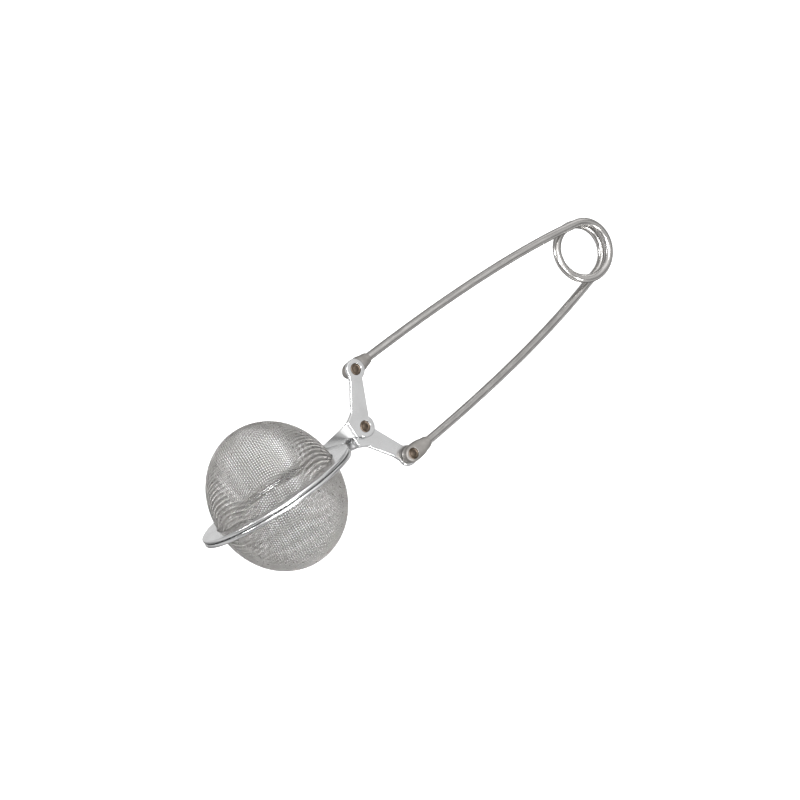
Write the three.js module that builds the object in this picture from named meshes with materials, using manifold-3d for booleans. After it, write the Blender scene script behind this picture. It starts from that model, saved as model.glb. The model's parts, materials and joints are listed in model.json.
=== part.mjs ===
// A tongs-style tea infuser: two woven wire bowls on hinged jaws, held shut by a sprung wire handle.
//
// It is drawn in the frame of the closed tool: X runs from the bowls to the spring coil, Y runs along
// the hinge rivet, Z is the way the jaws part, and the origin is the middle of the hinge. The two jaws
// are the same stamping, and the two legs the same bend, so each lower half is the upper one turned
// half a turn about X. Two outer groups then lay the tool down as it rests on a table: on the lower
// bowl, the edge of the lower rim and the end of the lower leg. All lengths are in millimetres.

import * as THREE from 'three';
import { mergeVertices } from 'three/addons/utils/BufferGeometryUtils.js';
import Module from 'manifold-3d';

const wasm = await Module();
wasm.setup();

// ---------------------------------------------------------------- driving dimensions

const BALL_RADIUS = 21.5; // outside of a bowl at its mouth
const BALL_HEIGHT = 24.7; // from the parting plane to the top of a bowl
const MESH_THICK = 0.4;
const HINGE_TO_BALL = 40.4;

const PARTING_GAP = 0.3; // between the two rims when shut
const RIM_RADIUS = 27.5;
const RIM_THICK = 1.2;
const RIM_SHEET = 0.45; // the sheet over the brim of the mesh
const RIM_EDGE_CHAMFER = 0.3;
const RECESS_RADIUS = 25.5; // inside of the folded outer edge, which takes the brim and its ring
const FIT_GAP = 0.1; // between parts clamped in the recess
const BRIM_THICK = 0.25;
const RING_THICK = 0.3;

const PLATE_THICK = 1.3; // hinge plate and arm
const PLATE_GAP = 0.9; // between the two hinge plates
const EAR_RADIUS = 3.6; // round the hinge
const EYE_RADIUS = 3.4; // round the pivot at the arm's end
const ARM_LENGTH = 18.5; // hinge to pivot
const ARM_ANGLE = THREE.MathUtils.degToRad(62); // from X, when shut
const NECK_THICK = 1.1;

const SHANK_RADIUS = 1.2;
const RIVET_FLARE = 1.6; // radius of a countersunk rivet end
const FLARE_DEPTH = 0.5;
const RIVET_CLEARANCE = 0.15;
const RIVET_PROUD = 0.12; // crown on a rivet end
const WASHER_THICK = 0.3;
const WASHER_RADIUS = 2.6;
const OPEN_PIVOT_RADIUS = 2.25; // lower eye, where the linkage is left open
const TAIL_HEAD_RADIUS = 2.9; // rivet head behind the lower eye
const TAIL_HEAD_THICK = 0.5;
const TAIL_HEAD_GAP = 0.25;

const FERRULE_THICK = 3.2;
const FERRULE_LENGTH = 7.8; // pivot to the end at the wire
const FERRULE_GAP = 0.3; // to the hinge plate, and to the wire's end
const COLLAR_RADIUS = 1.55;

const WIRE_RADIUS = 1.4;
const COIL_RADIUS = 9; // to the wire's centre
const COIL_X = 104;
const COIL_PITCH = 4.4;
const COIL_ENTRY = THREE.MathUtils.degToRad(77); // polar angle where a leg meets the coil
const COIL_END_GAP = THREE.MathUtils.degToRad(2); // between the coil's end and a leg's end
const LEG_START_REACH = 50; // how far a leg holds its direction from its ferrule
const LEG_END_REACH = 14; // and before the coil

const REST_ROLL = THREE.MathUtils.degToRad(-53.63); // lying on bowl, rim and handle
const REST_PITCH = THREE.MathUtils.degToRad(5.22);

const RIM_SEGMENTS = 60;
const BOWL_SEGMENTS = 36;
const BOWL_STEPS = 7;
const ROUND_SEGMENTS = 20;
const WIRE_SIDES = 8;
const MERGE_TOLERANCE = 1e-4;
const OVERCUT = 1; // how far a hole's cutter runs past the faces

// ---------------------------------------------------------------- worked-out dimensions

const TURN = 2 * Math.PI;
const RIM_BOTTOM = PARTING_GAP / 2;
const RIM_TOP = RIM_BOTTOM + RIM_THICK;
const RIM_OPENING = BALL_RADIUS + 0.3;
const BRIM_TOP = RIM_TOP - RIM_SHEET - FIT_GAP;
const BRIM_BOTTOM = BRIM_TOP - BRIM_THICK;
const BRIM_RADIUS = RECESS_RADIUS - 0.3;

const PLATE_INNER_Y = -PLATE_GAP / 2;
const PLATE_OUTER_Y = PLATE_INNER_Y - PLATE_THICK;
const PIVOT = new THREE.Vector2(Math.cos(ARM_ANGLE), Math.sin(ARM_ANGLE)).multiplyScalar(ARM_LENGTH);

const FERRULE_NEAR_Y = PLATE_INNER_Y + FERRULE_GAP;
const FERRULE_FAR_Y = FERRULE_NEAR_Y + FERRULE_THICK;
const FERRULE_Y = (FERRULE_NEAR_Y + FERRULE_FAR_Y) / 2;
const HOLE_RADIUS = SHANK_RADIUS + RIVET_CLEARANCE;
const FLARE_HOLE_RADIUS = RIVET_FLARE + RIVET_CLEARANCE;

const COIL_SWEEP = 2 * COIL_ENTRY + TURN; // round the far side, and once more
const COIL_HALF_WIDTH = (COIL_SWEEP / TURN) * COIL_PITCH / 2;

// ---------------------------------------------------------------- solids

// A solid from a closed three.js geometry, leaving out the flat triangles at a lathe's poles.
function toSolid(geometry) {
  const bare = geometry.clone();
  bare.deleteAttribute('normal');
  bare.deleteAttribute('uv');
  const merged = mergeVertices(bare, MERGE_TOLERANCE);
  const index = merged.index.array;
  const triVerts = [];
  for (let i = 0; i < index.length; i += 3) {
    const [a, b, c] = index.slice(i, i + 3);
    if (a !== b && b !== c && c !== a) triVerts.push(a, b, c);
  }
  return new wasm.Manifold(new wasm.Mesh({
    numProp: 3,
    vertProperties: new Float32Array(merged.attributes.position.array),
    triVerts: new Uint32Array(triVerts),
  }));
}

function toGeometry(solid) {
  const { vertProperties, triVerts } = solid.getMesh();
  const geometry = new THREE.BufferGeometry();
  geometry.setAttribute('position', new THREE.BufferAttribute(vertProperties, 3));
  geometry.setIndex(new THREE.BufferAttribute(triVerts, 1));
  geometry.computeVertexNormals();
  return geometry;
}

function join(...geometries) {
  return geometries.map(toSolid).reduce((whole, piece) => whole.add(piece));
}

// Turned about Z from [radius, z] pairs that run anticlockwise round the section.
function turned(section, segments) {
  const points = section.map(([radius, height]) => new THREE.Vector2(radius, height));
  return new THREE.LatheGeometry(points, segments).rotateX(Math.PI / 2);
}

// The same about Y, for rivets and their holes, from [radius, y] pairs.
function turnedAboutY(section, x = 0, z = 0) {
  const points = section.map(([radius, y]) => new THREE.Vector2(radius, y));
  return new THREE.LatheGeometry(points, ROUND_SEGMENTS).translate(x, 0, z);
}

function closed(section) {
  return [...section, section[0]];
}

// A flat plate from an outline in X and Z, between two values of Y.
function plate(shape, nearY, farY) {
  const depth = farY - nearY;
  const options = { depth, bevelEnabled: false, curveSegments: ROUND_SEGMENTS / 2 };
  const geometry = new THREE.ExtrudeGeometry(shape, options);
  return geometry.rotateX(Math.PI / 2).translate(0, farY, 0);
}

function disc(x, z, radius) {
  return new THREE.Shape().absarc(x, z, radius, 0, TURN);
}

function tube(path, radius, steps) {
  const section = disc(0, 0, radius);
  const options = { steps, extrudePath: path, bevelEnabled: false, curveSegments: WIRE_SIDES / 2 };
  return new THREE.ExtrudeGeometry(section, options);
}

// ---------------------------------------------------------------- woven bowl and its ring

// Points on the bowl's curve from its mouth, at height base, to its crown.
function bowlCurve(radius, height, base) {
  const points = [];
  for (let i = 0; i <= BOWL_STEPS; i += 1) {
    const angle = (i / BOWL_STEPS) * (Math.PI / 2);
    points.push([radius * Math.cos(angle), base + (height - base) * Math.sin(angle)]);
  }
  points[BOWL_STEPS][0] = 0;
  return points;
}

function meshBowl() {
  const outside = bowlCurve(BALL_RADIUS, BALL_HEIGHT, BRIM_TOP);
  const inside = bowlCurve(BALL_RADIUS - MESH_THICK, BALL_HEIGHT - MESH_THICK, BRIM_BOTTOM);
  const brim = [[BRIM_RADIUS, BRIM_BOTTOM], [BRIM_RADIUS, BRIM_TOP]];
  return turned([...inside.reverse(), ...brim, ...outside], BOWL_SEGMENTS);
}

function retainingRing() {
  const inner = BALL_RADIUS - MESH_THICK;
  const top = RIM_BOTTOM + RING_THICK;
  const section = [[inner, RIM_BOTTOM], [BRIM_RADIUS, RIM_BOTTOM], [BRIM_RADIUS, top], [inner, top]];
  return turned(closed(section), BOWL_SEGMENTS);
}

// ---------------------------------------------------------------- jaw: rim, neck, hinge plate and arm

function rim() {
  const edge = RIM_RADIUS - RIM_EDGE_CHAMFER;
  const section = [
    [RECESS_RADIUS, RIM_BOTTOM],
    [edge, RIM_BOTTOM],
    [RIM_RADIUS, RIM_BOTTOM + RIM_EDGE_CHAMFER],
    [RIM_RADIUS, RIM_TOP - RIM_EDGE_CHAMFER],
    [edge, RIM_TOP],
    [RIM_OPENING, RIM_TOP],
    [RIM_OPENING, RIM_TOP - RIM_SHEET],
    [RECESS_RADIUS, RIM_TOP - RIM_SHEET],
  ];
  return turned(closed(section), RIM_SEGMENTS).translate(-HINGE_TO_BALL, 0, 0);
}

// The neck twists from the flat of the rim into the upright hinge plate. It is a strip ruled between
// a near edge, which stays low, and a far edge, which rises.
function neck() {
  const middle = (RIM_BOTTOM + RIM_TOP) / 2;
  const plateY = (PLATE_INNER_Y + PLATE_OUTER_Y) / 2;
  const nearEdge = new THREE.CatmullRomCurve3([
    new THREE.Vector3(-17.5, -12, middle),
    new THREE.Vector3(-13.5, -7.2, middle),
    new THREE.Vector3(-9.6, -3.2, middle - 0.2),
    new THREE.Vector3(-7, plateY - 0.3, -0.3),
    new THREE.Vector3(-4.4, plateY, -1),
  ]);
  const farEdge = new THREE.CatmullRomCurve3([
    new THREE.Vector3(-17.5, 11, middle),
    new THREE.Vector3(-14.2, 7, 1.5),
    new THREE.Vector3(-10.5, 3.2, 2.7),
    new THREE.Vector3(-7, 0.4, 3.9),
    new THREE.Vector3(-4.4, plateY, 4.7),
  ]);
  const steps = 14;
  const strip = new THREE.BoxGeometry(1, 1, 1, steps, 1, 1);
  const place = strip.attributes.position;
  const near = new THREE.Vector3();
  const far = new THREE.Vector3();
  for (let i = 0; i < place.count; i += 1) {
    const along = place.getX(i) + 0.5;
    nearEdge.getPoint(along, near);
    farEdge.getPoint(along, far);
    const across = far.clone().sub(near);
    const tangent = nearEdge.getTangent(along).add(farEdge.getTangent(along));
    const normal = tangent.cross(across).normalize();
    const point = near.lerp(far, place.getY(i) + 0.5).addScaledVector(normal, place.getZ(i) * NECK_THICK);
    place.setXYZ(i, point.x, point.y, point.z);
  }
  return strip;
}

function hingePlate() {
  const arm = new THREE.Shape();
  arm.moveTo(-4.8, -1);
  arm.lineTo(-2.4, -1.9);
  arm.lineTo(2.7, 2.2);
  arm.lineTo(8.9, 12.6);
  arm.lineTo(PIVOT.x - 3.4, PIVOT.y - 0.2);
  arm.lineTo(4, 13.6);
  arm.lineTo(-1.9, 6);
  arm.lineTo(-4.8, 4.6);
  return join(
    plate(arm, PLATE_OUTER_Y, PLATE_INNER_Y),
    plate(disc(0, 0, EAR_RADIUS), PLATE_OUTER_Y, PLATE_INNER_Y),
    plate(disc(PIVOT.x, PIVOT.y, EYE_RADIUS), PLATE_OUTER_Y, PLATE_INNER_Y),
  );
}

// A rivet hole that is flared at one face and plain at the other.
function flaredHole(flareY, plainY, x, z) {
  const way = Math.sign(plainY - flareY);
  const section = [
    [0, flareY - way * OVERCUT],
    [FLARE_HOLE_RADIUS, flareY - way * OVERCUT],
    [FLARE_HOLE_RADIUS, flareY],
    [HOLE_RADIUS, flareY + way * FLARE_DEPTH],
    [HOLE_RADIUS, plainY + way * OVERCUT],
    [0, plainY + way * OVERCUT],
  ];
  if (way < 0) section.reverse();
  return toSolid(turnedAboutY(section, x, z));
}

function plainHole(radius, x, z) {
  const reach = PLATE_THICK + PLATE_GAP;
  return toSolid(turnedAboutY([[0, -reach], [radius, -reach], [radius, reach], [0, reach]], x, z));
}

function jawFrame(eyeHole) {
  const below = RIM_BOTTOM - 2;
  const sheet = RIM_TOP - RIM_SHEET;
  const bowlRoom = [
    [0, below],
    [RECESS_RADIUS, below],
    [RECESS_RADIUS, sheet],
    [RIM_OPENING, sheet],
    [RIM_OPENING, BALL_RADIUS],
    [0, BALL_RADIUS],
  ];
  const room = toSolid(turned(bowlRoom, RIM_SEGMENTS).translate(-HINGE_TO_BALL, 0, 0));
  const whole = join(rim(), neck()).subtract(room).add(hingePlate());
  const hingeHole = flaredHole(PLATE_OUTER_Y, PLATE_INNER_Y, 0, 0);
  return toGeometry(whole.subtract(hingeHole).subtract(eyeHole));
}

// ---------------------------------------------------------------- rivets and washer

// A rivet between two faces, with both ends flared and lightly crowned.
function rivet(nearY, farY, x, z) {
  const crown = RIVET_FLARE * 0.55;
  const section = [
    [0, nearY - RIVET_PROUD],
    [crown, nearY - RIVET_PROUD * 0.6],
    [RIVET_FLARE, nearY],
    [SHANK_RADIUS, nearY + FLARE_DEPTH],
    [SHANK_RADIUS, farY - FLARE_DEPTH],
    [RIVET_FLARE, farY],
    [crown, farY + RIVET_PROUD * 0.6],
    [0, farY + RIVET_PROUD],
  ];
  return toGeometry(toSolid(turnedAboutY(section, x, z)));
}

// The rivet of the open pivot has a flat head behind the plate instead of a second flare.
function headedRivet(nearY, farY, x, z) {
  const headY = farY + TAIL_HEAD_GAP;
  const section = [
    [0, nearY - RIVET_PROUD],
    [RIVET_FLARE, nearY],
    [SHANK_RADIUS, nearY + FLARE_DEPTH],
    [SHANK_RADIUS, headY],
    [TAIL_HEAD_RADIUS, headY],
    [TAIL_HEAD_RADIUS * 0.85, headY + TAIL_HEAD_THICK],
    [0, headY + TAIL_HEAD_THICK],
  ];
  return toGeometry(toSolid(turnedAboutY(section, x, z)));
}

function washer() {
  const half = WASHER_THICK / 2;
  const section = [[HOLE_RADIUS, -half], [WASHER_RADIUS, -half], [WASHER_RADIUS, half], [HOLE_RADIUS, half]];
  return turnedAboutY(closed(section));
}

// ---------------------------------------------------------------- handle

// A drop-shaped end fitting: turned about its own length, cut to two flats, and bored for its rivet.
function ferrule() {
  const bulb = 2.8;
  const profile = [
    [0, -bulb],
    [bulb * 0.5, -bulb * 0.87],
    [bulb * 0.87, -bulb * 0.5],
    [bulb, 0],
    [bulb, 2.4],
    [bulb * 0.93, 4.3],
    [bulb * 0.78, 5.9],
    [bulb * 0.64, 7.1],
    [COLLAR_RADIUS, FERRULE_LENGTH],
    [0, FERRULE_LENGTH],
  ];
  const points = profile.map(([radius, along]) => new THREE.Vector2(radius, along));
  const drop = new THREE.LatheGeometry(points, ROUND_SEGMENTS).rotateZ(-Math.PI / 2);
  const slab = new THREE.BoxGeometry(4 * FERRULE_LENGTH, FERRULE_THICK, 4 * bulb);
  const bore = flaredHole(FERRULE_THICK / 2, -FERRULE_THICK / 2, 0, 0);
  const body = toSolid(drop).intersect(toSolid(slab)).subtract(bore);
  return toGeometry(body.translate([PIVOT.x, FERRULE_Y, PIVOT.y]));
}

// One leg, from its ferrule to its tangent on the coil. It crosses the middle plane on the way.
function leg() {
  const start = new THREE.Vector3(PIVOT.x + FERRULE_LENGTH + FERRULE_GAP, FERRULE_Y, PIVOT.y);
  const end = new THREE.Vector3(
    COIL_X + COIL_RADIUS * Math.cos(COIL_ENTRY),
    -COIL_HALF_WIDTH,
    COIL_RADIUS * Math.sin(COIL_ENTRY),
  );
  const rise = COIL_PITCH / (TURN * COIL_RADIUS);
  const drift = (end.y - start.y) / (end.x - start.x);
  const startWay = new THREE.Vector3(1, drift, -0.01).normalize();
  const endWay = new THREE.Vector3(Math.sin(COIL_ENTRY), rise, -Math.cos(COIL_ENTRY)).normalize();
  const path = new THREE.CubicBezierCurve3(
    start,
    start.clone().addScaledVector(startWay, LEG_START_REACH),
    end.clone().addScaledVector(endWay, -LEG_END_REACH),
    end,
  );
  return tube(path, WIRE_RADIUS, 24);
}

class Helix extends THREE.Curve {
  getPoint(t, target = new THREE.Vector3()) {
    const turnedBy = COIL_END_GAP + t * (COIL_SWEEP - 2 * COIL_END_GAP);
    const angle = COIL_ENTRY - turnedBy;
    const y = -COIL_HALF_WIDTH + (turnedBy / TURN) * COIL_PITCH;
    return target.set(COIL_X + COIL_RADIUS * Math.cos(angle), y, COIL_RADIUS * Math.sin(angle));
  }
}

function coil() {
  return tube(new Helix(), WIRE_RADIUS, 48);
}

// ---------------------------------------------------------------- materials

function steel(color, roughness) {
  return new THREE.MeshStandardMaterial({ color, roughness, metalness: 1 });
}

const jawSteel = () => steel(0xd4d4d4, 0.32);
const meshSteel = () => steel(0xb5b3ae, 0.38);
const rivetSteel = () => steel(0x6b6258, 0.45);
const ferruleSteel = () => steel(0xa29c92, 0.5);
const wireSteel = () => steel(0xbdbbb5, 0.18);

function part(name, geometry, material) {
  const mesh = new THREE.Mesh(geometry, material);
  mesh.name = name;
  return mesh;
}

// ---------------------------------------------------------------- assembly

const upperEye = flaredHole(PLATE_OUTER_Y, PLATE_INNER_Y, PIVOT.x, PIVOT.y);
const lowerEye = plainHole(OPEN_PIVOT_RADIUS, PIVOT.x, PIVOT.y);
const bowlPlace = (geometry) => geometry.translate(-HINGE_TO_BALL, 0, 0);

const upperHalf = new THREE.Group();
upperHalf.add(
  part('upper_jaw_frame', jawFrame(upperEye), jawSteel()),
  part('upper_mesh_bowl', bowlPlace(meshBowl()), meshSteel()),
  part('upper_retaining_ring', bowlPlace(retainingRing()), jawSteel()),
  part('upper_pivot_rivet', rivet(PLATE_OUTER_Y, FERRULE_FAR_Y, PIVOT.x, PIVOT.y), rivetSteel()),
  part('upper_ferrule', ferrule(), ferruleSteel()),
  part('upper_handle_leg', leg(), wireSteel()),
);

// The lower half is drawn as an upper one and turned over. Its ferrule then lies on the near side of
// its arm, as the upper ferrule lies on the far side.
const lowerHalf = new THREE.Group();
lowerHalf.rotation.x = Math.PI;
lowerHalf.add(
  part('lower_jaw_frame', jawFrame(lowerEye), jawSteel()),
  part('lower_mesh_bowl', bowlPlace(meshBowl()), meshSteel()),
  part('lower_retaining_ring', bowlPlace(retainingRing()), jawSteel()),
  part('lower_ferrule', ferrule(), ferruleSteel()),
  part('lower_handle_leg', leg(), wireSteel()),
);

const tool = new THREE.Group();
tool.add(
  upperHalf,
  lowerHalf,
  part('lower_pivot_rivet', headedRivet(-FERRULE_FAR_Y, -PLATE_OUTER_Y, PIVOT.x, -PIVOT.y), rivetSteel()),
  part('hinge_rivet', rivet(PLATE_OUTER_Y, -PLATE_OUTER_Y, 0, 0), rivetSteel()),
  part('hinge_washer', washer(), jawSteel()),
  part('spring_coil', coil(), wireSteel()),
);

const rolled = new THREE.Group();
rolled.rotation.x = REST_ROLL;
rolled.add(tool);

// Laid down, with the origin on the table under the middle of the whole tool.
const infuser = new THREE.Group();
infuser.rotation.y = REST_PITCH;
infuser.add(rolled);
infuser.updateMatrixWorld(true);
const extent = new THREE.Box3().setFromObject(infuser, true);
const middle = extent.getCenter(new THREE.Vector3());
infuser.position.set(-middle.x, -middle.y, -extent.min.z);

export default infuser;
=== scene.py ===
"""Looks of the tongs-style tea infuser: woven wire bowls, pressed jaws, rivets, ferrules and spring handle.

Pieces are drawn in the closed tool's own frame, in millimetres, as the CAD is: X from the bowls to the
spring coil, Y along the hinge rivet, Z the way the jaws part, and the origin in the middle of the hinge.
The lower half is the upper half turned half a turn about X.
"""

import json
import math

import bmesh
import bpy
import numpy as np
from mathutils import Matrix, Vector
from mathutils.geometry import tessellate_polygon


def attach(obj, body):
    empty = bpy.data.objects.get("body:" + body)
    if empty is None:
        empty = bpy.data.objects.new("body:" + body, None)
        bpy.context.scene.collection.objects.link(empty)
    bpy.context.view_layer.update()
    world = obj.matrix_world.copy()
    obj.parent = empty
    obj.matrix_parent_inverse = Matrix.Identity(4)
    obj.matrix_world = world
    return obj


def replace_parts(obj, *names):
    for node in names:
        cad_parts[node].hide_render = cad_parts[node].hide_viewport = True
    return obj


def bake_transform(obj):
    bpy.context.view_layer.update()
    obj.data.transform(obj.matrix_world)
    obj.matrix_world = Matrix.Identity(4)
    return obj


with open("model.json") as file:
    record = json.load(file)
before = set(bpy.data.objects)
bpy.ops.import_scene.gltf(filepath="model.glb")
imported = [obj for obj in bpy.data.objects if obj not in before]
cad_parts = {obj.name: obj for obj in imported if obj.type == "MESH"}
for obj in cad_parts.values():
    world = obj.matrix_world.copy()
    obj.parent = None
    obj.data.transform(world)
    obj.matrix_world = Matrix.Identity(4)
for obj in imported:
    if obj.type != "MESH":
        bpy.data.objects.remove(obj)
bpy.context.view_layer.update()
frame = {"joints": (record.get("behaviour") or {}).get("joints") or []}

MM = 0.001
TURN = 2 * math.pi

# ---------------------------------------------------------------- dimensions in mm
# They are the CAD's, but for the rivets' flare and the ferrules' collar, which are a little fuller here.

BALL_X = -40.4
BALL_RADIUS = 21.5
BALL_HEIGHT = 24.7
CLOTH_THICK = 0.4
WIRE_PITCH = 0.84  # of the woven cloth
CLOTH_WIRE = 0.125  # radius of a cloth wire
CLOTH_SIDES = 4
HEM_CLEARANCE = 0.12  # of the cloth's edge above the retaining ring
HEM_SPREAD = 1.05  # how far the cloth's edge turns out under the rim
UPPER_CLOTH_TURN = -30.8  # of the weave about the bowl's axis, in degrees
LOWER_CLOTH_TURN = 38.0

RIM_RADIUS = 27.5
RIM_BOTTOM = 0.15
RIM_TOP = 1.35
RIM_SHEET = 0.45
RIM_OPENING = 21.8
RECESS_RADIUS = 25.5
RING_THICK = 0.3
RING_EDGE = 0.1
RING_LAP = 0.35  # how far the ring's bore stands outside the cloth
RING_GAP = 0.2  # between the ring and the recess

PLATE_NEAR = -1.75
PLATE_FAR = -0.45
EAR_RADIUS = 3.6
EYE_RADIUS = 3.4
ARM_LENGTH = 18.5
ARM_ANGLE = math.radians(62)
NECK_THICK = 1.1
NECK_EDGE = 0.45
NECK_START = 26.2  # radius inside the rim where the neck begins
PLATE_EDGE = 0.35
PIVOT = np.array((math.cos(ARM_ANGLE), math.sin(ARM_ANGLE))) * ARM_LENGTH

SHANK_RADIUS = 1.2
RIVET_FLARE = 1.85
FLARE_DEPTH = 0.5
RIVET_CLEARANCE = 0.15
RIVET_PROUD = 0.12
OPEN_PIVOT_RADIUS = 2.25
TAIL_HEAD_RADIUS = 2.9
TAIL_HEAD_FROM = 2.0
TAIL_HEAD_THICK = 0.5
TAIL_HEAD_EDGE = 0.1

WASHER_BORE = 1.35
WASHER_RADIUS = 2.6
WASHER_HALF = 0.15
WASHER_EDGE = 0.06

FERRULE_Y = 1.45
FERRULE_THICK = 3.2
FERRULE_LENGTH = 7.8
FERRULE_BULB = 2.8
COLLAR_RADIUS = 1.75
COLLAR_EDGE = 0.12
FERRULE_SHARE = 0.8  # length of wire inside a ferrule

HANDLE_WIRE = 1.4
COIL_RADIUS = 9.0
COIL_X = 104.0
COIL_PITCH = 4.4
COIL_ENTRY = math.radians(77)
COIL_SWEEP = 2 * COIL_ENTRY + TURN
COIL_HALF_WIDTH = COIL_SWEEP / TURN * COIL_PITCH / 2
LEG_START_REACH = 51.0  # of the leg's curve, along its start and along its end
LEG_END_REACH = 14.0

# ---------------------------------------------------------------- fineness of the meshes

RIM_SEGMENTS = 160
ROOM_SEGMENTS = 96
SMALL_SEGMENTS = 40  # of rivets, washer, bores and ferrules
HOLE_SEGMENTS = 32
HANDLE_SIDES = 24
LEG_STEPS = 120
COIL_STEPS = 200
NECK_STEPS = 36

# ---------------------------------------------------------------- the tool's frame, from the joints

joints = {joint["name"]: joint for joint in frame["joints"]}
hinge_point = Vector(joints["jaw_hinge"]["pos_m"])
along_y = Vector(joints["jaw_hinge"]["axis"]).normalized()
to_coil = Vector(joints["coil_flex"]["pos_m"]) - hinge_point
along_x = (to_coil - along_y * to_coil.dot(along_y)).normalized()
along_z = along_x.cross(along_y)
TOOL = Matrix.Translation(hinge_point) @ Matrix((along_x, along_y, along_z)).transposed().to_4x4()
UPPER = TOOL
LOWER = TOOL @ Matrix.Rotation(math.pi, 4, "X")

# ---------------------------------------------------------------- camera


def towards(azimuth, elevation):
    a, e = math.radians(azimuth), math.radians(elevation)
    return Vector((math.sin(a) * math.cos(e), -math.cos(a) * math.cos(e), math.sin(e)))


CAMERA_AZIMUTH = -49.22
CAMERA_ELEVATION = 55.11
CAMERA_ROLL = math.radians(2.29)
CAMERA_DISTANCE = 8.0
CAMERA_LENS = 1134.0
CAMERA_AIM = hinge_point + Vector((0.01315, -0.00382, 0.00520))

camera = bpy.data.objects.new("camera", bpy.data.cameras.new("camera"))
bpy.context.scene.collection.objects.link(camera)
camera.data.lens = CAMERA_LENS
camera.data.sensor_width = 36
camera.data.clip_start = 0.05
camera.data.clip_end = 20
camera.location = CAMERA_AIM + towards(CAMERA_AZIMUTH, CAMERA_ELEVATION) * CAMERA_DISTANCE
level = (CAMERA_AIM - camera.location).to_track_quat("-Z", "Y").to_matrix()
camera.rotation_euler = (level @ Matrix.Rotation(CAMERA_ROLL, 3, "Z")).to_euler()
bpy.context.scene.camera = camera

# ---------------------------------------------------------------- materials

NOISE_LOW = 0.3  # the part of a noise texture's range that the looks use
NOISE_HIGH = 0.7
ALONG_WIRE = (1, 0.02, 1)  # draws the texture out along the wire


def set_stops(ramp, stops):
    """Gives a colour ramp its (position, colour) stops."""
    elements = ramp.color_ramp.elements
    while len(elements) < len(stops):
        elements.new(0.5)
    for element, (position, colour) in zip(elements, stops):
        element.position = position
        element.color = (*colour, 1)


class Shader:
    """A Principled metal whose colour, roughness and bump come from layered textures."""

    def __init__(self, name):
        self.material = bpy.data.materials.new(name)
        self.material.use_nodes = True
        self.nodes = self.material.node_tree.nodes
        self.links = self.material.node_tree.links
        self.surface = self.nodes["Principled BSDF"]
        self.surface.inputs["Metallic"].default_value = 1.0
        self.coords = self.nodes.new("ShaderNodeTexCoord")

    def noise(self, scale, stretch=(1, 1, 1), source="Object", detail=3.0):
        mapping = self.nodes.new("ShaderNodeMapping")
        mapping.inputs["Scale"].default_value = stretch
        self.links.new(self.coords.outputs[source], mapping.inputs["Vector"])
        noise = self.nodes.new("ShaderNodeTexNoise")
        noise.inputs["Scale"].default_value = scale
        noise.inputs["Detail"].default_value = detail
        self.links.new(mapping.outputs["Vector"], noise.inputs["Vector"])
        return noise.outputs["Fac"]

    def ramp(self, factor, dark, light):
        ramp = self.nodes.new("ShaderNodeValToRGB")
        set_stops(ramp, [(NOISE_LOW, dark), (NOISE_HIGH, light)])
        self.links.new(factor, ramp.inputs["Fac"])
        return ramp.outputs["Color"]

    def span(self, factor, new_low, new_high):
        node = self.nodes.new("ShaderNodeMapRange")
        values = (NOISE_LOW, NOISE_HIGH, new_low, new_high)
        for key, value in zip(("From Min", "From Max", "To Min", "To Max"), values):
            node.inputs[key].default_value = value
        self.links.new(factor, node.inputs["Value"])
        return node.outputs["Result"]

    def bump(self, height, depth_mm, strength=1.0, below=None):
        node = self.nodes.new("ShaderNodeBump")
        node.inputs["Strength"].default_value = strength
        node.inputs["Distance"].default_value = depth_mm * MM
        self.links.new(height, node.inputs["Height"])
        if below is not None:
            self.links.new(below, node.inputs["Normal"])
        return node.outputs["Normal"]

    def to(self, socket, output):
        self.links.new(output, self.surface.inputs[socket])


def grey(level, warmth=0.0):
    return (level * (1 + warmth), level, level * (1 - warmth))


def jaw_steel():
    """Bright satin pressed sheet, softly mottled, with faint handling marks."""
    s = Shader("jaw_steel")
    mottle = s.noise(180, detail=4)
    s.to("Base Color", s.ramp(mottle, grey(0.68), grey(0.76, -0.005)))
    s.to("Roughness", s.span(s.noise(500, detail=5), 0.18, 0.28))
    fine = s.bump(s.noise(2600, detail=4), 0.004, 0.5)
    s.to("Normal", s.bump(s.noise(140, detail=2), 0.05, 0.25, fine))
    return s.material


def mesh_steel():
    """Drawn stainless cloth wire."""
    s = Shader("mesh_steel")
    s.to("Base Color", s.ramp(s.noise(300, detail=3), grey(0.31, 0.035), grey(0.43, 0.03)))
    s.to("Roughness", s.span(s.noise(900, detail=2), 0.26, 0.4))
    return s.material


def wire_steel():
    """Polished drawn spring wire, with streaks that run along it."""
    s = Shader("wire_steel")
    streak = s.noise(9, stretch=ALONG_WIRE, source="UV", detail=4)
    s.to("Base Color", s.ramp(streak, grey(0.44, 0.03), grey(0.57, 0.025)))
    s.to("Roughness", s.span(streak, 0.18, 0.3))
    s.to("Normal", s.bump(s.noise(14, stretch=ALONG_WIRE, source="UV", detail=3), 0.02, 0.35))
    return s.material


def ferrule_steel():
    """Matt tumbled steel, faintly brown."""
    s = Shader("ferrule_steel")
    s.to("Base Color", s.ramp(s.noise(420, detail=5), grey(0.26, 0.06), grey(0.38, 0.045)))
    s.to("Roughness", s.span(s.noise(900, detail=4), 0.42, 0.6))
    s.to("Normal", s.bump(s.noise(2200, detail=4), 0.02, 0.6))
    return s.material


def rivet_steel():
    """Dull bronzed rivet ends."""
    s = Shader("rivet_steel")
    s.to("Base Color", s.ramp(s.noise(700, detail=4), (0.07, 0.055, 0.04), (0.18, 0.14, 0.11)))
    s.to("Roughness", s.span(s.noise(1500, detail=3), 0.35, 0.55))
    s.to("Normal", s.bump(s.noise(1500, detail=4), 0.02, 0.6))
    return s.material


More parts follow.
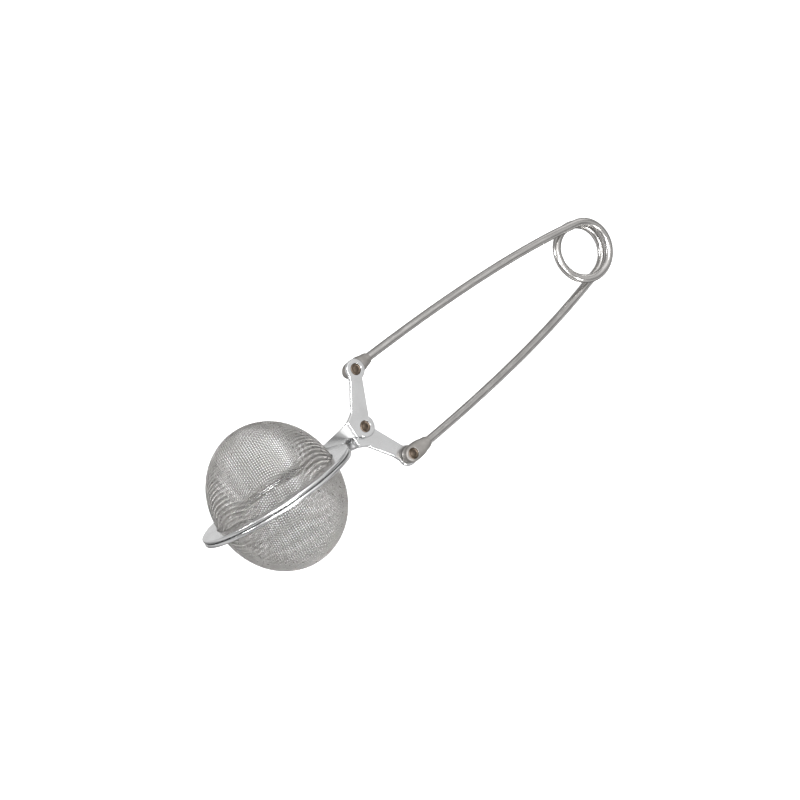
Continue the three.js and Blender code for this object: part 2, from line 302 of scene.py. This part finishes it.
MAKERS = (jaw_steel, mesh_steel, wire_steel, ferrule_steel, rivet_steel)
MATERIALS = {make.__name__: make() for make in MAKERS}

# ---------------------------------------------------------------- mesh helpers


def piece(name, verts, faces, place, slot, sharp=35.0, uvs=None):
    """An object from points in the tool's frame in mm, shaded smooth but for edges sharper than `sharp`."""
    mesh = bpy.data.meshes.new(name)
    turn = np.array(place.to_3x3())
    placed = np.asarray(verts) * MM @ turn.T + np.array(place.translation)
    mesh.from_pydata(placed.tolist(), [], faces)
    mesh.polygons.foreach_set("use_smooth", [True] * len(mesh.polygons))
    if uvs is not None:
        layer = mesh.uv_layers.new(name="along")
        layer.data.foreach_set("uv", np.asarray(uvs, np.float32).ravel())
    mesh.update()
    shape = bmesh.new()
    shape.from_mesh(mesh)
    bmesh.ops.recalc_face_normals(shape, faces=shape.faces)
    shape.to_mesh(mesh)
    shape.free()
    mesh.set_sharp_from_angle(angle=math.radians(sharp))
    mesh.materials.append(MATERIALS[slot])
    obj = bpy.data.objects.new(name, mesh)
    bpy.context.scene.collection.objects.link(obj)
    return obj


def apply_modifiers(obj):
    """Replaces the object's mesh by what its modifiers make of it."""
    bpy.context.view_layer.update()
    made = bpy.data.meshes.new_from_object(obj.evaluated_get(bpy.context.evaluated_depsgraph_get()))
    obj.modifiers.clear()
    obj.data = made


def combine(obj, other, operation):
    """A boolean of two pieces; the other is used up."""
    cut = obj.modifiers.new("combine", "BOOLEAN")
    cut.operation = operation
    cut.solver = "EXACT"
    cut.object = other
    apply_modifiers(obj)
    bpy.data.objects.remove(other)


def finish_edges(obj, sharp):
    """Marks sharp edges and weights the shading to the large faces."""
    obj.data.polygons.foreach_set("use_smooth", [True] * len(obj.data.polygons))
    obj.data.set_sharp_from_angle(angle=math.radians(sharp))
    weighted = obj.modifiers.new("shading", "WEIGHTED_NORMAL")
    weighted.keep_sharp = True


def rounded(corners, steps=4):
    """A closed section from (u, v, radius) corners, each rounded by its radius."""
    points = []
    count = len(corners)
    for i, (u, v, radius) in enumerate(corners):
        here = np.array((u, v))
        if radius <= 0:
            points.append(here)
            continue
        before = np.array(corners[i - 1][:2]) - here
        after = np.array(corners[(i + 1) % count][:2]) - here
        room = 0.49 * min(np.linalg.norm(before), np.linalg.norm(after))
        before /= np.linalg.norm(before)
        after /= np.linalg.norm(after)
        half_angle = math.acos(np.clip(before @ after, -1, 1)) / 2
        run = min(radius / math.tan(half_angle), room)
        start, end = here + before * run, here + after * run
        for k in range(steps + 1):
            t = k / steps
            points.append((1 - t) ** 2 * start + 2 * t * (1 - t) * here + t * t * end)
    return np.array(points)


def walls(rings, sides, first=0):
    """The quads between closed rings of points that follow each other."""
    faces = []
    for i in range(rings - 1):
        base = first + i * sides
        for k in range(sides):
            m = (k + 1) % sides
            faces.append([base + k, base + m, base + sides + m, base + sides + k])
    return faces


def capped(rings, sides):
    """The walls, with a face on the first ring and one on the last."""
    last = (rings - 1) * sides
    return [list(range(sides)), [last + k for k in range(sides)][::-1]] + walls(rings, sides)


def lathe(section, segments, axis="Z"):
    """Turns a closed (radius, height) section about Z or Y. Points with no radius close on the axis."""
    angles = np.arange(segments) / segments * TURN
    radius, height = section[:, 0], section[:, 1]
    across = np.outer(np.cos(angles), radius), np.outer(np.sin(angles), radius)
    level = np.tile(height, (segments, 1))
    order = (across[0], across[1], level) if axis == "Z" else (across[0], level, across[1])
    verts = np.stack(order, axis=-1).reshape(-1, 3)
    n = len(section)
    faces = []
    for i in range(segments):
        j = (i + 1) % segments
        for k in range(n):
            m = (k + 1) % n
            ring = [i * n + k, i * n + m, j * n + m, j * n + k]
            on_axis = [radius[q % n] < 1e-6 for q in ring]
            if on_axis[0] and on_axis[1]:
                continue
            faces.append(ring)
    return verts, faces


def turned(name, section, segments, place, slot, axis="Z", at=(0, 0, 0), sharp=35.0):
    """A lathed piece with its poles welded."""
    verts, faces = lathe(np.asarray(section, float), segments, axis)
    obj = piece(name, verts + np.array(at), faces, place, slot, sharp)
    shape = bmesh.new()
    shape.from_mesh(obj.data)
    bmesh.ops.remove_doubles(shape, verts=shape.verts, dist=1e-7)
    bmesh.ops.recalc_face_normals(shape, faces=shape.faces)
    shape.to_mesh(obj.data)
    shape.free()
    obj.data.set_sharp_from_angle(angle=math.radians(sharp))
    return obj


def sweep(path, normals, radius, sides, first=0):
    """A closed tube of the given radius round a path. Returns points, faces and the faces' uv corners."""
    path = np.asarray(path)
    tangent = np.gradient(path, axis=0)
    tangent /= np.linalg.norm(tangent, axis=1)[:, None]
    normal = normals - tangent * np.sum(normals * tangent, axis=1)[:, None]
    normal /= np.linalg.norm(normal, axis=1)[:, None]
    side = np.cross(tangent, normal)
    angle = np.arange(sides) / sides * TURN
    cos, sin = np.cos(angle)[None, :, None], np.sin(angle)[None, :, None]
    ring = cos * normal[:, None] + sin * side[:, None]
    verts = (path[:, None] + ring * radius).reshape(-1, 3)
    count = len(path)
    i, k = np.meshgrid(np.arange(count - 1), np.arange(sides), indexing="ij")
    m = (k + 1) % sides
    near, far = i * sides, (i + 1) * sides
    quads = np.stack((near + k, near + m, far + m, far + k), -1).reshape(-1, 4)
    caps = [list(range(sides))[::-1], [(count - 1) * sides + s for s in range(sides)]]
    run = np.concatenate(([0], np.cumsum(np.linalg.norm(np.diff(path, axis=0), axis=1))))
    u0, u1 = k / sides, (k + 1) / sides
    v0, v1 = run[i], run[i + 1]
    uvs = np.stack((u0, v0, u1, v0, u1, v1, u0, v1), -1).reshape(-1, 2)
    uvs = np.concatenate((uvs, np.zeros((2 * sides, 2))))
    faces = (quads + first).tolist() + [[first + v for v in cap] for cap in caps]
    return verts, faces, uvs


# ---------------------------------------------------------------- woven bowls


def cloth_net(step, count):
    """One quarter of an even net drawn over a unit dome from its crown, as woven cloth shears over it."""
    net = np.zeros((count, count, 3))
    angle = np.arange(count) * step
    net[:, 0] = np.stack((np.sin(angle), np.zeros(count), np.cos(angle)), -1)
    net[0, :] = np.stack((np.zeros(count), np.sin(angle), np.cos(angle)), -1)
    for i in range(1, count):
        for j in range(1, count):
            across = np.cross(net[i, j - 1], net[i - 1, j])
            across /= max(np.linalg.norm(across), 1e-9)
            back = net[i - 1, j - 1]
            net[i, j] = back - 2 * (back @ across) * across
    return net


def cloth_wires(net):
    """Each wire's points on the unit dome, two to a mesh, and which side of the cloth each lies on."""
    count = len(net)
    wires = []
    for row in range(-count + 1, count):
        quarter = net[abs(row)]
        flip = -1 if row < 0 else 1
        half = []
        sides = []
        for j in range(count - 1):
            here, ahead = quarter[j], quarter[j + 1]
            if here[2] <= 0:
                break
            over = 1 if (row + j) % 2 == 0 else -1
            stop = 1.0 if ahead[2] > 0 else here[2] / (here[2] - ahead[2])
            if 0.25 < stop:
                half.append(here * 0.75 + ahead * 0.25)
                sides.append(over)
            if 0.75 < stop:
                half.append(here * 0.25 + ahead * 0.75)
                sides.append(-over)
            if stop < 1.0:
                half.append(here * (1 - stop) + ahead * stop)
                sides.append(0)
                break
        if len(half) < 3:
            continue
        half = np.array(half)
        mirrored = half[::-1] * (1, -1, 1)
        points = np.concatenate((mirrored, half)) * (flip, 1, 1)
        points /= np.linalg.norm(points, axis=1)[:, None]
        wires.append((points, np.array(sides[::-1] + sides, float)))
    return wires


def woven_bowl(name, place, body, cloth_turn):
    """Plain-weave cloth drawn into a bowl, with its cut edge turned out into the rim."""
    width = BALL_RADIUS - CLOTH_THICK / 2
    base = RIM_BOTTOM + RING_THICK + CLOTH_WIRE + HEM_CLEARANCE
    depth = BALL_HEIGHT - CLOTH_THICK / 2 - base
    step = WIRE_PITCH / ((width + depth) / 2)
    net = cloth_net(step, int(math.pi / 2 / step) + 3)
    turn = np.array(Matrix.Rotation(math.radians(cloth_turn), 3, "Z"))
    verts, faces, total = [], [], 0
    for crosswise in (False, True):
        for points, over in cloth_wires(net):
            if crosswise:
                points, over = points[:, (1, 0, 2)], -over
            points = points @ turn.T
            normal = points / (width, width, depth)
            normal /= np.linalg.norm(normal, axis=1)[:, None]
            path = points * (width, width, depth) + normal * over[:, None] * CLOTH_WIRE
            hem = [path[k] * (HEM_SPREAD, HEM_SPREAD, 0) for k in (0, -1)]
            path = np.concatenate(([hem[0]], path, [hem[1]]))
            normal = np.concatenate((normal[:1] + (0, 0, 1), normal, normal[-1:] + (0, 0, 1)))
            tube, skin, _ = sweep(path + (BALL_X, 0, base), normal, CLOTH_WIRE, CLOTH_SIDES, total)
            verts.append(tube)
            faces += skin
            total += len(tube)
    obj = piece(name, np.concatenate(verts), faces, place, "mesh_steel", sharp=100)
    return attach(obj, body)


# ---------------------------------------------------------------- pressed jaws


def spline(points, count):
    """A smooth curve through the points."""
    points = np.asarray(points, float)
    padded = np.concatenate(([2 * points[0] - points[1]], points, [2 * points[-1] - points[-2]]))
    out = []
    for t in np.linspace(0, len(points) - 1, count):
        i = min(int(t), len(points) - 2)
        f = t - i
        a, b, c, d = padded[i : i + 4]
        square, cube = 2 * a - 5 * b + 4 * c - d, 3 * b - a - 3 * c + d
        out.append(0.5 * (2 * b + (c - a) * f + square * f**2 + cube * f**3))
    return np.array(out)


def arc(centre, radius, start, end, steps):
    """Corners for rounded() along an arc, from start to end in degrees."""
    angles = np.radians(np.linspace(start, end, steps))
    return [(centre[0] + radius * math.cos(a), centre[1] + radius * math.sin(a), 0) for a in angles]


def offset(outline, distance):
    """The closed outline moved inwards, for a counter-clockwise outline."""
    ahead = np.roll(outline, -1, axis=0) - outline
    behind = outline - np.roll(outline, 1, axis=0)
    ahead /= np.linalg.norm(ahead, axis=1)[:, None]
    behind /= np.linalg.norm(behind, axis=1)[:, None]
    way = ahead + behind
    way /= np.linalg.norm(way, axis=1)[:, None]
    inward = np.stack((-way[:, 1], way[:, 0]), -1)
    return outline + inward * distance


def rim(name, place):
    """The pressed ring round a bowl, with a recess for the cloth's edge."""
    section = rounded(
        [
            (RECESS_RADIUS, RIM_BOTTOM, 0.1),
            (RIM_RADIUS, RIM_BOTTOM, 0.45),
            (RIM_RADIUS, RIM_TOP, 0.5),
            (RIM_OPENING, RIM_TOP, 0.2),
            (RIM_OPENING, RIM_TOP - RIM_SHEET, 0.15),
            (RECESS_RADIUS, RIM_TOP - RIM_SHEET, 0),
        ]
    )
    return turned(name, section, RIM_SEGMENTS, place, "jaw_steel", at=(BALL_X, 0, 0))


def neck(name, place):
    """The strip that twists from the flat of the rim into the upright hinge plate."""
    middle = (RIM_BOTTOM + RIM_TOP) / 2
    plate_y = (PLATE_NEAR + PLATE_FAR) / 2
    near = spline(
        [(-17.5, -12, middle), (-13.5, -7.2, middle), (-9.6, -3.2, middle - 0.2), (-7, plate_y - 0.3, -0.3),
         (-4.4, plate_y, -1), (-1.5, plate_y, -1.4)], NECK_STEPS)
    far = spline(
        [(-17.5, 11, middle), (-14.2, 7, 1.5), (-10.5, 3.2, 2.7), (-7, 0.4, 3.9), (-4.4, plate_y, 4.7),
         (-1.5, plate_y, 5.2)], NECK_STEPS)
    along = np.gradient(near, axis=0) + np.gradient(far, axis=0)
    across = far - near
    width = np.linalg.norm(across, axis=1)
    across /= width[:, None]
    normal = np.cross(along, across)
    normal /= np.linalg.norm(normal, axis=1)[:, None]
    half = NECK_THICK / 2
    rings = []
    for i in range(NECK_STEPS):
        corners = [(0, -half), (width[i], -half), (width[i], half), (0, half)]
        section = rounded([(u, v, NECK_EDGE) for u, v in corners], 3)
        rings.append(near[i] + section[:, :1] * across[i] + section[:, 1:] * normal[i])
    faces = capped(NECK_STEPS, len(rings[0]))
    return piece(name, np.concatenate(rings), faces, place, "jaw_steel")


def plate(name, place, eye_hole):
    """The hinge plate and arm, with rounded edges and its two rivet holes."""
    outline = rounded(
        [(-4.8, -1, 0.3), (-2.9, -2.1, 0)]
        + arc((0, 0), EAR_RADIUS, -143, 29, 28)
        + [(8.9, 12.6, 0)]
        + arc(PIVOT, EYE_RADIUS, -80, 183, 36)
        + [(4, 13.6, 0.5), (-1.9, 6, 2.0), (-4.8, 4.6, 0.3)]
    )
    bends = np.linspace(0, math.pi / 2, 5)
    profile = [(PLATE_EDGE * (1 - math.sin(a)), PLATE_EDGE * (1 - math.cos(a))) for a in bends]
    loops = [(inset, PLATE_NEAR + rise) for inset, rise in profile]
    loops += [(inset, PLATE_FAR - rise) for inset, rise in reversed(profile)]
    verts = []
    n = len(outline)
    for inset, y in loops:
        ring = offset(outline, inset)
        verts += [(x, y, z) for x, z in ring]
    faces = walls(len(loops), n)
    rivet_hole = (RIVET_FLARE + RIVET_CLEARANCE, SHANK_RADIUS + RIVET_CLEARANCE)
    holes = [((0, 0), *rivet_hole)]
    holes.append((PIVOT, eye_hole, eye_hole) if eye_hole else (PIVOT, *rivet_hole))
    sides = HOLE_SEGMENTS
    rings = {"near": [list(range(n))], "far": [list(range((len(loops) - 1) * n, len(loops) * n))]}
    for centre, near_radius, far_radius in holes:
        start = len(verts)
        levels = ((near_radius, PLATE_NEAR), (far_radius, PLATE_NEAR + FLARE_DEPTH), (far_radius, PLATE_FAR))
        for radius, y in levels:
            for k in range(sides):
                a = k / sides * TURN
                verts.append((centre[0] + radius * math.cos(a), y, centre[1] + radius * math.sin(a)))
        faces += walls(len(levels), sides, start)
        rings["near"].append([start + k for k in range(sides)])
        rings["far"].append([start + 2 * sides + k for k in range(sides)])
    for face in rings.values():
        flat = [index for ring in face for index in ring]
        borders = [[Vector((verts[i][0], verts[i][2], 0)) for i in ring] for ring in face]
        triangles = tessellate_polygon(borders)
        faces += [[flat[a] for a in triangle] for triangle in triangles]
    return piece(name, verts, faces, place, "jaw_steel")


def jaw(name, place, body, replaced, eye_hole):
    """Rim, neck, hinge plate and arm in one, with the neck kept out of the rim's opening."""
    strip = neck("neck", place)
    low, high = -4, 6
    room = [(0, low), (NECK_START, low), (NECK_START, high), (0, high)]
    cutter = turned("room", room, ROOM_SEGMENTS, place, "jaw_steel", at=(BALL_X, 0, 0))
    combine(strip, cutter, "DIFFERENCE")
    obj = rim(name, place)
    combine(obj, strip, "UNION")
    combine(obj, plate("plate", place, eye_hole), "UNION")
    finish_edges(obj, 34)
    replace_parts(obj, replaced)
    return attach(obj, body)


def retaining_ring(name, place, body):
    """The flat ring that clamps the cloth's edge in the rim."""
    inner = BALL_RADIUS - CLOTH_THICK + RING_LAP
    outer = RECESS_RADIUS - RING_GAP
    top = RIM_BOTTOM + RING_THICK
    corners = [(inner, RIM_BOTTOM), (outer, RIM_BOTTOM), (outer, top), (inner, top)]
    section = rounded([(u, v, RING_EDGE) for u, v in corners])
    obj = turned(name, section, RIM_SEGMENTS, place, "jaw_steel", at=(BALL_X, 0, 0))
    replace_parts(obj, name.replace("bright_", ""))
    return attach(obj, body)


# ---------------------------------------------------------------- rivets and washer


def flush_end(y, way):
    """Half of a rivet's section at a flared end: a low button in a groove, inside a rounded lip."""
    return [
        (0, y + way * 0.06),
        (0.7, y + way * 0.03),
        (1.0, y - way * 0.12),
        (1.3, y - way * 0.12),
        (1.52, y + way * RIVET_PROUD),
        (1.7, y + way * 0.06),
        (RIVET_FLARE, y - way * 0.04),
        (SHANK_RADIUS, y - way * FLARE_DEPTH),
    ]


def rivet(name, near_y, far_y, at, place, body):
    """A rivet flared at both ends, or with a domed tail head where it has no far end."""
    section = flush_end(near_y, -1)
    if far_y is None:
        y, radius, thick = TAIL_HEAD_FROM, TAIL_HEAD_RADIUS, TAIL_HEAD_THICK
        section += [
            (SHANK_RADIUS, y),
            (radius - TAIL_HEAD_EDGE, y),
            (radius, y + TAIL_HEAD_EDGE),
            (radius * 0.95, y + thick * 0.7),
            (radius * 0.8, y + thick),
            (0, y + thick),
        ]
    else:
        section += flush_end(far_y, 1)[::-1]
    centre = (at[0], 0, at[1])
    obj = turned(name, section, SMALL_SEGMENTS, place, "rivet_steel", axis="Y", at=centre, sharp=50)
    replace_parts(obj, name.replace("set_", ""))
    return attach(obj, body)


# ---------------------------------------------------------------- handle


def ferrule(name, place, body):
    """A drop-shaped fitting: flattened at the rivet, drawn to a round collar at the wire.

    A station is a place along it, its half height, its half thickness and the squareness of its section.
    """
    half = FERRULE_THICK / 2
    stations = []
    for a in np.radians(np.linspace(-88, 0, 12)):
        thick = half * (0.72 + 0.28 * math.cos(a) ** 0.5)
        stations.append((FERRULE_BULB * math.sin(a), FERRULE_BULB * math.cos(a), thick, 3.6))
    end = FERRULE_LENGTH - COLLAR_EDGE
    body_line = [(0, 2.8), (2.2, 2.8), (4.2, 2.62), (5.8, 2.2), (7.0, 2.0), (end, COLLAR_RADIUS)]
    for s, height in spline(body_line, 16)[1:]:
        t = s / end
        stations.append((s, height, half + (COLLAR_RADIUS - half) * t, 3.6 - 1.6 * t**1.5))
    for s, reach in ((FERRULE_LENGTH, -0.06), (FERRULE_LENGTH, -0.15), (FERRULE_LENGTH - 0.7, -0.25)):
        stations.append((s, COLLAR_RADIUS + reach, COLLAR_RADIUS + reach, 2))
    sides = SMALL_SEGMENTS
    angles = np.arange(sides) / sides * TURN
    rings = []
    for s, height, thick, power in stations:
        c, d = np.cos(angles), np.sin(angles)
        scale = (np.abs(c) ** power + np.abs(d) ** power) ** (-1 / power)
        rings.append(np.stack((np.full(sides, s), c * scale * thick, d * scale * height), -1))
    verts = np.concatenate(rings) + (PIVOT[0], FERRULE_Y, PIVOT[1])
    obj = piece(name, verts, capped(len(rings), sides), place, "ferrule_steel", sharp=60)
    bore = SHANK_RADIUS + RIVET_CLEARANCE
    flare = RIVET_FLARE + RIVET_CLEARANCE
    face = FERRULE_Y + half
    low, high = -2, face + 1
    section = [(0, low), (bore, low), (bore, face - FLARE_DEPTH), (flare, face), (flare, high), (0, high)]
    centre = (PIVOT[0], 0, PIVOT[1])
    cutter = turned("bore", section, SMALL_SEGMENTS, place, "ferrule_steel", axis="Y", at=centre)
    combine(obj, cutter, "DIFFERENCE")
    finish_edges(obj, 40)
    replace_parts(obj, name.replace("drop_", ""))
    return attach(obj, body)


def leg_path(count):
    """The curve of a leg, from inside its ferrule to where the coil takes over in its direction."""
    start = np.array((PIVOT[0] + FERRULE_LENGTH - FERRULE_SHARE, FERRULE_Y, PIVOT[1]))
    cos, sin = math.cos(COIL_ENTRY), math.sin(COIL_ENTRY)
    end = np.array((COIL_X + COIL_RADIUS * cos, -COIL_HALF_WIDTH, COIL_RADIUS * sin))
    rise = COIL_PITCH / (TURN * COIL_RADIUS)
    start_way = np.array((1, (end[1] - start[1]) / (end[0] - start[0]), -0.01))
    end_way = np.array((sin, rise, -cos))
    start_way /= np.linalg.norm(start_way)
    end_way /= np.linalg.norm(end_way)
    t = np.linspace(0, 1, count)[:, None]
    a, b, c, d = start, start + start_way * LEG_START_REACH, end - end_way * LEG_END_REACH, end
    return (1 - t) ** 3 * a + 3 * t * (1 - t) ** 2 * b + 3 * t * t * (1 - t) * c + t**3 * d


def handle_wire(name, path, place):
    """A round wire along a path."""
    normals = np.tile((0.0, -1.0, 0.0), (len(path), 1))
    verts, faces, uvs = sweep(path, normals, HANDLE_WIRE, HANDLE_SIDES)
    return piece(name, verts, faces, place, "wire_steel", sharp=50, uvs=uvs)


def leg(name, place, body):
    obj = handle_wire(name, leg_path(LEG_STEPS), place)
    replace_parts(obj, name.replace("polished_", ""))
    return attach(obj, body)


def coil(name, place):
    """The open spring coil, which winds from the end of the one leg to the end of the other."""
    turned_by = np.linspace(0, COIL_SWEEP, COIL_STEPS)
    angle = COIL_ENTRY - turned_by
    y = -COIL_HALF_WIDTH + turned_by / TURN * COIL_PITCH
    path = np.stack((COIL_X + COIL_RADIUS * np.cos(angle), y, COIL_RADIUS * np.sin(angle)), -1)
    obj = handle_wire(name, path, place)
    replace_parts(obj, "spring_coil")
    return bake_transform(obj)


# ---------------------------------------------------------------- assembly

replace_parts(woven_bowl("upper_woven_bowl", UPPER, "upper_jaw", UPPER_CLOTH_TURN), "upper_mesh_bowl")
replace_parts(woven_bowl("lower_woven_bowl", LOWER, "lower_jaw", LOWER_CLOTH_TURN), "lower_mesh_bowl")
jaw("upper_pressed_jaw", UPPER, "upper_jaw", "upper_jaw_frame", None)
jaw("lower_pressed_jaw", LOWER, "lower_jaw", "lower_jaw_frame", OPEN_PIVOT_RADIUS)
retaining_ring("bright_upper_retaining_ring", UPPER, "upper_jaw")
retaining_ring("bright_lower_retaining_ring", LOWER, "lower_jaw")

ferrule_far = FERRULE_Y + FERRULE_THICK / 2
rivet("set_hinge_rivet", PLATE_NEAR, -PLATE_NEAR, (0, 0), TOOL, "lower_jaw")
rivet("set_upper_pivot_rivet", PLATE_NEAR, ferrule_far, PIVOT, UPPER, "upper_jaw")
rivet("set_lower_pivot_rivet", -ferrule_far, None, (PIVOT[0], -PIVOT[1]), TOOL, "lower_leg")

washer_corners = [
    (WASHER_BORE, -WASHER_HALF, WASHER_EDGE),
    (WASHER_RADIUS, -WASHER_HALF, WASHER_EDGE),
    (WASHER_RADIUS, WASHER_HALF, WASHER_EDGE),
    (WASHER_BORE, WASHER_HALF, WASHER_EDGE),
]
washer_section = rounded(washer_corners, 2)
washer = turned("thin_hinge_washer", washer_section, SMALL_SEGMENTS, TOOL, "jaw_steel", axis="Y")
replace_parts(washer, "hinge_washer")
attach(washer, "lower_jaw")

ferrule("drop_upper_ferrule", UPPER, "upper_leg")
ferrule("drop_lower_ferrule", LOWER, "lower_leg")
leg("polished_upper_handle_leg", UPPER, "upper_leg")
leg("polished_lower_handle_leg", LOWER, "lower_leg")
coil("sprung_wire_coil", TOOL)

# ---------------------------------------------------------------- stage and light

FLOOR_SIZE = 12
FLOOR_DROP = 0.0002  # keeps the floor clear of the pieces that lie on it
FLOOR_GLOW = 0.5

# Brightness of the room by height, from straight down to straight up.
ROOM_TONES = [
    (0.0, 0.22),
    (0.08, 0.28),
    (0.17, 0.8),
    (0.3, 0.7),
    (0.45, 0.36),
    (0.58, 0.3),
    (0.72, 0.5),
    (1.0, 0.75),
]

# Name, azimuth and elevation in degrees, distance, width and height in metres, radiance.
SOFTBOXES = [
    ("front_box", -72, 45, 2.0, 0.4, 0.4, 30.0),
    ("patch_box", -36, 39, 2.0, 0.35, 0.3, 45.0),
    ("low_box", -15, 9, 2.0, 0.35, 0.35, 45.0),
    ("high_box", -7, 66, 2.0, 0.35, 0.35, 28.0),
    ("left_box", -130, 22, 2.0, 0.4, 0.4, 30.0),
    ("right_box", 41, 32, 2.2, 1.5, 1.5, 0.25),
    ("top_box", 20, 80, 2.2, 2.0, 2.0, 0.6),
    ("side_box", 110, 25, 2.2, 1.6, 1.2, 0.7),
]


def softbox(name, azimuth, elevation, distance, width, height, radiance):
    """A soft rectangular lamp that faces the object."""
    lamp = bpy.data.lights.new(name, "AREA")
    lamp.shape = "RECTANGLE"
    lamp.size, lamp.size_y = width, height
    lamp.energy = radiance * math.pi * width * height
    holder = bpy.data.objects.new(name, lamp)
    bpy.context.scene.collection.objects.link(holder)
    holder.location = towards(azimuth, elevation) * distance
    holder.rotation_euler = (-holder.location).to_track_quat("-Z", "Y").to_euler()
    holder.visible_camera = False


def floor():
    """The pale table."""
    bpy.ops.mesh.primitive_plane_add(size=FLOOR_SIZE, location=(0, 0, -FLOOR_DROP))
    sheet = bpy.context.object
    sheet.name = "floor"
    material = bpy.data.materials.new("floor")
    material.use_nodes = True
    surface = material.node_tree.nodes["Principled BSDF"]
    surface.inputs["Base Color"].default_value = (0.9, 0.9, 0.9, 1)
    surface.inputs["Roughness"].default_value = 0.9
    surface.inputs["Emission Color"].default_value = (1, 1, 1, 1)
    surface.inputs["Emission Strength"].default_value = FLOOR_GLOW
    sheet.data.materials.append(material)
    sheet.visible_glossy = False


def studio():
    """The room's own light, which changes with height only."""
    world = bpy.data.worlds.new("studio")
    bpy.context.scene.world = world
    world.use_nodes = True
    nodes, links = world.node_tree.nodes, world.node_tree.links
    sky = nodes["Background"]
    coords = nodes.new("ShaderNodeTexCoord")
    split = nodes.new("ShaderNodeSeparateXYZ")
    ramp = nodes.new("ShaderNodeValToRGB")
    set_stops(ramp, [(position, grey(level)) for position, level in ROOM_TONES])
    spread = nodes.new("ShaderNodeMapRange")
    spread.inputs["From Min"].default_value = -1
    links.new(coords.outputs["Generated"], split.inputs["Vector"])
    links.new(split.outputs["Z"], spread.inputs["Value"])
    links.new(spread.outputs["Result"], ramp.inputs["Fac"])
    links.new(ramp.outputs["Color"], sky.inputs["Color"])
    sky.inputs["Strength"].default_value = 1.0


floor()
studio()
for box in SOFTBOXES:
    softbox(*box)

bpy.context.scene.view_settings.view_transform = "Standard"
